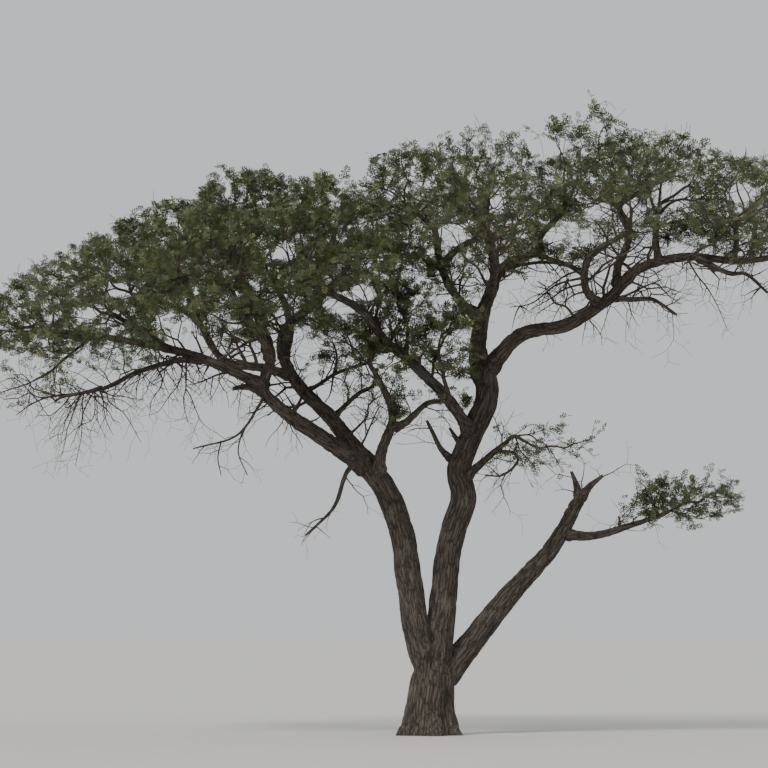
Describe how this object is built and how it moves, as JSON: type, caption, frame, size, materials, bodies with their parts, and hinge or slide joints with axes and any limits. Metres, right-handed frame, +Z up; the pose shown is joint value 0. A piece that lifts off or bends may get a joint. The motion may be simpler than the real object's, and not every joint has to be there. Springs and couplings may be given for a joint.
{
  "type": "acacia tree",
  "caption": "Old flat-topped acacia: a short fluted bole, a low fork into leaning stems, crooked spreading boughs and layered fine foliage, with a broken stem on one side.",
  "frame": {"origin": "middle of the flat cut under the trunk, at ground level", "axes": "+Z up, +X along the widest spread of the crown, to the right in the picture, and +Y away from the picture's camera"},
  "size_m": [17.0393, 9.9713, 12.069],
  "materials": {
    "bark": "matt, deeply fissured grey-brown bark",
    "foliage": "matt grey-green leaflets on thin brown twigs"
  },
  "bodies": {
    "root": {"trunk": "bark", "left_stem": "bark", "right_stem": "bark", "broken_stem": "bark", "left_low_bough": "bark", "left_high_bough": "bark", "left_long_bough": "bark", "left_rising_bough": "bark", "left_drooping_bough": "bark", "inner_bough": "bark", "inner_spur": "bark", "crossing_bough": "bark", "centre_bough": "bark", "centre_right_bough": "bark", "centre_left_bough": "bark", "back_centre_bough": "bark", "right_long_bough": "bark", "right_spur": "bark", "right_fork_bough": "bark", "right_second_bough": "bark", "right_rising_bough": "bark", "right_drooping_bough": "bark", "right_low_bough": "bark", "broken_stem_bough": "bark", "dead_limb": "bark", "dead_twig_bough": "bark", "front_outer_left_bough": "bark", "back_outer_left_bough": "bark", "front_left_bough": "bark", "back_left_bough": "bark", "front_centre_bough": "bark", "back_right_bough": "bark", "front_outer_right_bough": "bark", "back_outer_right_bough": "bark", "far_left_foliage": "foliage", "drooping_left_foliage": "foliage", "front_outer_left_foliage": "foliage", "back_outer_left_foliage": "foliage", "upper_left_foliage": "foliage", "left_crown_foliage": "foliage", "front_left_foliage": "foliage", "back_left_foliage": "foliage", "left_top_foliage": "foliage", "front_crown_foliage": "foliage", "inner_foliage": "foliage", "inner_right_foliage": "foliage", "centre_left_foliage": "foliage", "centre_top_foliage": "foliage", "centre_right_foliage": "foliage", "back_centre_foliage": "foliage", "front_centre_foliage": "foliage", "right_top_foliage": "foliage", "right_upper_foliage": "foliage", "front_right_foliage": "foliage", "back_right_foliage": "foliage", "far_right_foliage": "foliage", "front_outer_right_foliage": "foliage", "back_outer_right_foliage": "foliage", "low_right_foliage": "foliage", "broken_stem_foliage": "foliage"}
  },
  "joints": []
}
